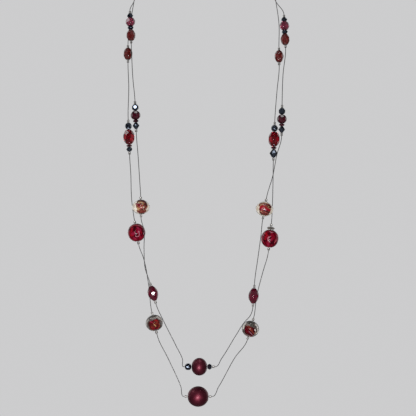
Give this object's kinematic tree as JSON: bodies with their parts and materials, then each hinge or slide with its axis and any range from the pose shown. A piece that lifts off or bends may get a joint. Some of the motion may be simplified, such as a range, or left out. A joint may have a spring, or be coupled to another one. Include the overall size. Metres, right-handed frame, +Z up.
{
  "type": "beaded necklace",
  "caption": "Long necklace of cut glass, lampwork and satin pearl beads, spaced along fine dark wire strands that close in a barrel clasp at the nape.",
  "frame": {"origin": "middle of the clasp, where the necklace sits at the nape", "axes": "+Z up along the wearer's neck, -Y to the wearer's front, +X to the right of someone who faces the wearer"},
  "size_m": [0.1152, 0.133, 0.3277],
  "materials": {
    "jet_glass": "polished",
    "rose_glass": "polished",
    "brick_glass": "polished",
    "garnet_glass": "polished",
    "ruby_glass": "polished",
    "cranberry_glass": "polished",
    "clear_glass": "polished",
    "ivory_lampwork_glass": "polished",
    "crimson_lampwork_glass": "polished",
    "swirl_lampwork_glass": "polished",
    "satin_pearl_coat": "satin",
    "dark_wire": "satin",
    "clasp_metal": "satin"
  },
  "bodies": {
    "root": {"barrel_clasp": "clasp_metal", "short_strand_wire": "dark_wire", "long_strand_wire": "dark_wire", "short_left_01_jet_spacer": "jet_glass", "short_left_02_rose_round": "rose_glass", "short_left_03_jet_spacer": "jet_glass", "short_left_04_brick_oval": "brick_glass", "short_left_05_jet_round": "jet_glass", "short_left_06_garnet_round": "garnet_glass", "short_left_07_garnet_rondelle": "garnet_glass", "short_left_08_jet_bicone": "jet_glass", "short_left_09_ivory_lampwork": "ivory_lampwork_glass", "short_left_10_cranberry_bicone": "cranberry_glass", "short_centre_1_jet_round": "jet_glass", "short_centre_2_satin_pearl": "satin_pearl_coat", "short_centre_3_jet_spacer": "jet_glass", "short_right_01_jet_spacer": "jet_glass", "short_right_02_rose_round": "rose_glass", "short_right_03_jet_spacer": "jet_glass", "short_right_04_brick_oval": "brick_glass", "short_right_05_jet_round": "jet_glass", "short_right_06_garnet_round": "garnet_glass", "short_right_07_garnet_rondelle": "garnet_glass", "short_right_08_jet_bicone": "jet_glass", "short_right_09_ivory_lampwork": "ivory_lampwork_glass", "short_right_10_cranberry_bicone": "cranberry_glass", "long_left_01_brick_oval": "brick_glass", "long_left_02_jet_round": "jet_glass", "long_left_03_ruby_oval": "ruby_glass", "long_left_04_garnet_rondelle": "garnet_glass", "long_left_05_jet_spacer": "jet_glass", "long_left_06_crimson_lampwork": "crimson_lampwork_glass", "long_left_07_swirl_lampwork": "swirl_lampwork_glass", "long_centre_1_satin_pearl_large": "satin_pearl_coat", "long_right_01_brick_oval": "brick_glass", "long_right_02_jet_round": "jet_glass", "long_right_03_ruby_oval": "ruby_glass", "long_right_04_garnet_rondelle": "garnet_glass", "long_right_05_jet_bicone_large": "jet_glass", "long_right_06_cap_disc": "clear_glass", "long_right_07_crimson_lampwork": "crimson_lampwork_glass", "long_right_08_swirl_lampwork": "swirl_lampwork_glass"}
  },
  "joints": []
}
